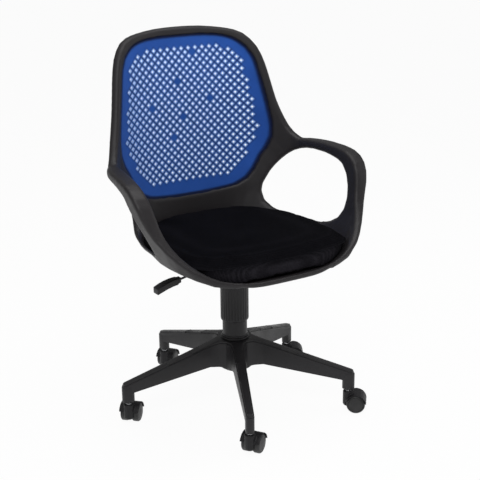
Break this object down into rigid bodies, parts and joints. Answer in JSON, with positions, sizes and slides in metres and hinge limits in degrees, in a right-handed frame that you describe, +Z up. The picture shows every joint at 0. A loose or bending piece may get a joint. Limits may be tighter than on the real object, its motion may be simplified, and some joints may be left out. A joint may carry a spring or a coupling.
{
  "type": "swivel office chair",
  "caption": "Height-adjustable swivel chair: a one-piece moulded shell of back hoop, arms and seat pan, a mesh back, a padded seat and a star base on twin-wheel casters.",
  "frame": {"origin": "on the floor, under the column axis", "axes": "+Z up along the column axis; the sitter faces -Y and the height lever is on the -X side"},
  "size_m": [0.6518, 0.618, 0.934],
  "materials": {
    "shell_plastic": "fine-grained matt moulding",
    "nylon": "satin glass-filled nylon",
    "grip_plastic": "satin moulding",
    "wheel_rubber": "satin tread",
    "steel": "bright zinc",
    "black_steel": "black powder coat",
    "blue_plastic": "satin moulding",
    "blue_mesh": "fine diagonal knit",
    "seat_fabric": "fine spacer mesh",
    "plywood": "raw ply"
  },
  "bodies": {
    "base": {"star_base": "nylon", "column_tube": "black_steel", "guide_bush": "nylon", "lower_cover": "nylon"},
    "swivel": {"piston_rod": "steel", "thrust_bearing": "steel", "retaining_clip": "steel"},
    "seat": {"gas_cylinder": "black_steel", "upper_cover": "nylon", "taper_socket": "black_steel", "mechanism_channel": "black_steel", "seat_plate": "black_steel", "lever_pin": "steel", "seat_bolt_1": "steel", "seat_bolt_2": "steel", "seat_bolt_3": "steel", "seat_bolt_4": "steel", "shell_frame": "shell_plastic", "seat_board": "plywood", "seat_cushion": "seat_fabric", "back_panel": "blue_plastic", "back_fabric": "blue_mesh"},
    "lever": {"lever_rod": "black_steel", "lever_grip": "grip_plastic"},
    "button": {"release_button": "steel"},
    "caster_1": {"caster_1_hood": "nylon", "caster_1_stem": "steel", "caster_1_axle": "steel"},
    "caster_1_wheel_left": {"caster_1_wheel_left": "wheel_rubber"},
    "caster_1_wheel_right": {"caster_1_wheel_right": "wheel_rubber"},
    "caster_2": {"caster_2_hood": "nylon", "caster_2_stem": "steel", "caster_2_axle": "steel"},
    "caster_2_wheel_left": {"caster_2_wheel_left": "wheel_rubber"},
    "caster_2_wheel_right": {"caster_2_wheel_right": "wheel_rubber"},
    "caster_3": {"caster_3_hood": "nylon", "caster_3_stem": "steel", "caster_3_axle": "steel"},
    "caster_3_wheel_left": {"caster_3_wheel_left": "wheel_rubber"},
    "caster_3_wheel_right": {"caster_3_wheel_right": "wheel_rubber"},
    "caster_4": {"caster_4_hood": "nylon", "caster_4_stem": "steel", "caster_4_axle": "steel"},
    "caster_4_wheel_left": {"caster_4_wheel_left": "wheel_rubber"},
    "caster_4_wheel_right": {"caster_4_wheel_right": "wheel_rubber"},
    "caster_5": {"caster_5_hood": "nylon", "caster_5_stem": "steel", "caster_5_axle": "steel"},
    "caster_5_wheel_left": {"caster_5_wheel_left": "wheel_rubber"},
    "caster_5_wheel_right": {"caster_5_wheel_right": "wheel_rubber"}
  },
  "joints": [
    {"name": "seat_swivel", "type": "hinge", "parent": "base", "child": "swivel", "pos_m": [0, 0, 0.1], "axis": [0, 0, 1], "continuous": true},
    {"name": "seat_height", "type": "slide", "parent": "swivel", "child": "seat", "axis": [0, 0, 1], "range_m": [-0.03, 0.085]},
    {"name": "lever_lift", "type": "hinge", "parent": "seat", "child": "lever", "pos_m": [-0.026, 0, 0.389], "axis": [0, 1, 0], "range_deg": [0, 6], "stiffness_Nm_per_rad": 2, "springref_deg": -11.46},
    {"name": "button_press", "type": "slide", "parent": "seat", "child": "button", "axis": [0, 0, 1], "range_m": [-0.003, 0]},
    {"name": "caster_1_swivel", "type": "hinge", "parent": "base", "child": "caster_1", "pos_m": [-0.12439, -0.26197, 0.057], "axis": [0, 0, 1], "continuous": true},
    {"name": "caster_1_left_spin", "type": "hinge", "parent": "caster_1", "child": "caster_1_wheel_left", "pos_m": [-0.10762, -0.25107, 0.0235], "axis": [-0.5446, 0.8387, 0], "continuous": true},
    {"name": "caster_1_right_spin", "type": "hinge", "parent": "caster_1", "child": "caster_1_wheel_right", "pos_m": [-0.10762, -0.25107, 0.0235], "axis": [-0.5446, 0.8387, 0], "continuous": true},
    {"name": "caster_2_swivel", "type": "hinge", "parent": "base", "child": "caster_2", "pos_m": [0.21071, -0.19925, 0.057], "axis": [0, 0, 1], "continuous": true},
    {"name": "caster_2_left_spin", "type": "hinge", "parent": "caster_2", "child": "caster_2_wheel_left", "pos_m": [0.22603, -0.21211, 0.0235], "axis": [0.6428, 0.766, 0], "continuous": true},
    {"name": "caster_2_right_spin", "type": "hinge", "parent": "caster_2", "child": "caster_2_wheel_right", "pos_m": [0.22603, -0.21211, 0.0235], "axis": [0.6428, 0.766, 0], "continuous": true},
    {"name": "caster_3_swivel", "type": "hinge", "parent": "base", "child": "caster_3", "pos_m": [0.25461, 0.13882, 0.057], "axis": [0, 0, 1], "continuous": true},
    {"name": "caster_3_left_spin", "type": "hinge", "parent": "caster_3", "child": "caster_3_wheel_left", "pos_m": [0.27176, 0.12852, 0.0235], "axis": [0.515, 0.8572, 0], "continuous": true},
    {"name": "caster_3_right_spin", "type": "hinge", "parent": "caster_3", "child": "caster_3_wheel_right", "pos_m": [0.27176, 0.12852, 0.0235], "axis": [0.515, 0.8572, 0], "continuous": true},
    {"name": "caster_4_swivel", "type": "hinge", "parent": "base", "child": "caster_4", "pos_m": [-0.05335, 0.28505, 0.057], "axis": [0, 0, 1], "continuous": true},
    {"name": "caster_4_left_spin", "type": "hinge", "parent": "caster_4", "child": "caster_4_wheel_left", "pos_m": [-0.03717, 0.29681, 0.0235], "axis": [-0.5878, 0.809, 0], "continuous": true},
    {"name": "caster_4_right_spin", "type": "hinge", "parent": "caster_4", "child": "caster_4_wheel_right", "pos_m": [-0.03717, 0.29681, 0.0235], "axis": [-0.5878, 0.809, 0], "continuous": true},
    {"name": "caster_5_swivel", "type": "hinge", "parent": "base", "child": "caster_5", "pos_m": [-0.28758, 0.03735, 0.057], "axis": [0, 0, 1], "continuous": true},
    {"name": "caster_5_left_spin", "type": "hinge", "parent": "caster_5", "child": "caster_5_wheel_left", "pos_m": [-0.27344, 0.05149, 0.0235], "axis": [-0.7071, 0.7071, 0], "continuous": true},
    {"name": "caster_5_right_spin", "type": "hinge", "parent": "caster_5", "child": "caster_5_wheel_right", "pos_m": [-0.27344, 0.05149, 0.0235], "axis": [-0.7071, 0.7071, 0], "continuous": true}
  ],
  "couplings": [
    {"joint": "button_press", "follows": "lever_lift", "m_per_rad": -0.026}
  ]
}
